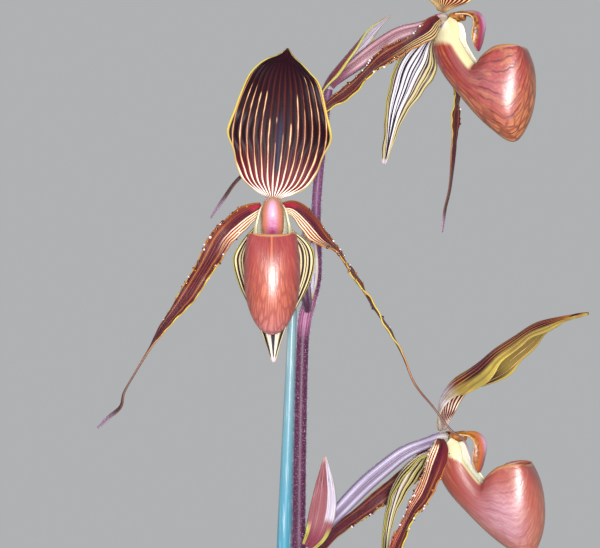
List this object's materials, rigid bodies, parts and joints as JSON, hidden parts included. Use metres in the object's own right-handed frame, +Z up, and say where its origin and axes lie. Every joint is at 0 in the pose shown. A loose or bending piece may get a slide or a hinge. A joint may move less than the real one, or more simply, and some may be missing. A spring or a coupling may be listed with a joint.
{
  "type": "potted slipper orchid",
  "caption": "Slipper orchid in a plain round pot: arching strap leaves, a staked purple stem and striped flowers with red pouches and long tapering petals.",
  "frame": {"origin": "centre of the pot's underside", "axes": "+Z up, -Y to the front, where the middle flower faces, and +X to the right, where the other two flowers face"},
  "size_m": [0.4867, 0.1627, 0.685],
  "materials": {
    "pot_plastic": "plain terracotta-coloured plastic, satin",
    "bark_mix": "damp, coarse bark chips",
    "stake_blue": "pale blue, satin",
    "stem_purple": "dark purple, finely hairy",
    "leaf_green": "waxy green",
    "dorsal_striped": "maroon with cream stripes and yellow-green margins",
    "synsepal_striped": "white with dark stripes and yellow-green margins",
    "petal_maroon": "maroon with cream stripes, warty yellow margins",
    "pouch_red": "salmon red with darker veins, glossy",
    "column_peach": "peach and magenta, finely hairy",
    "ovary_mauve": "mauve with darker ribs, finely hairy",
    "bract_rose": "rose with green margins"
  },
  "bodies": {
    "root": {"pot": "pot_plastic", "potting_mix": "bark_mix", "stake": "stake_blue", "flower_stem": "stem_purple", "leaf_1": "leaf_green", "leaf_2": "leaf_green", "leaf_3": "leaf_green", "leaf_4": "leaf_green", "leaf_5": "leaf_green", "leaf_6": "leaf_green", "leaf_7": "leaf_green", "upper_dorsal_sepal": "dorsal_striped", "upper_synsepal": "synsepal_striped", "upper_left_petal": "petal_maroon", "upper_right_petal": "petal_maroon", "upper_pouch": "pouch_red", "upper_column": "column_peach", "upper_ovary": "ovary_mauve", "upper_bract": "bract_rose", "middle_dorsal_sepal": "dorsal_striped", "middle_synsepal": "synsepal_striped", "middle_left_petal": "petal_maroon", "middle_right_petal": "petal_maroon", "middle_pouch": "pouch_red", "middle_column": "column_peach", "middle_ovary": "ovary_mauve", "middle_bract": "bract_rose", "lower_dorsal_sepal": "dorsal_striped", "lower_synsepal": "synsepal_striped", "lower_left_petal": "petal_maroon", "lower_right_petal": "petal_maroon", "lower_pouch": "pouch_red", "lower_column": "column_peach", "lower_ovary": "ovary_mauve", "lower_bract": "bract_rose"}
  },
  "joints": []
}
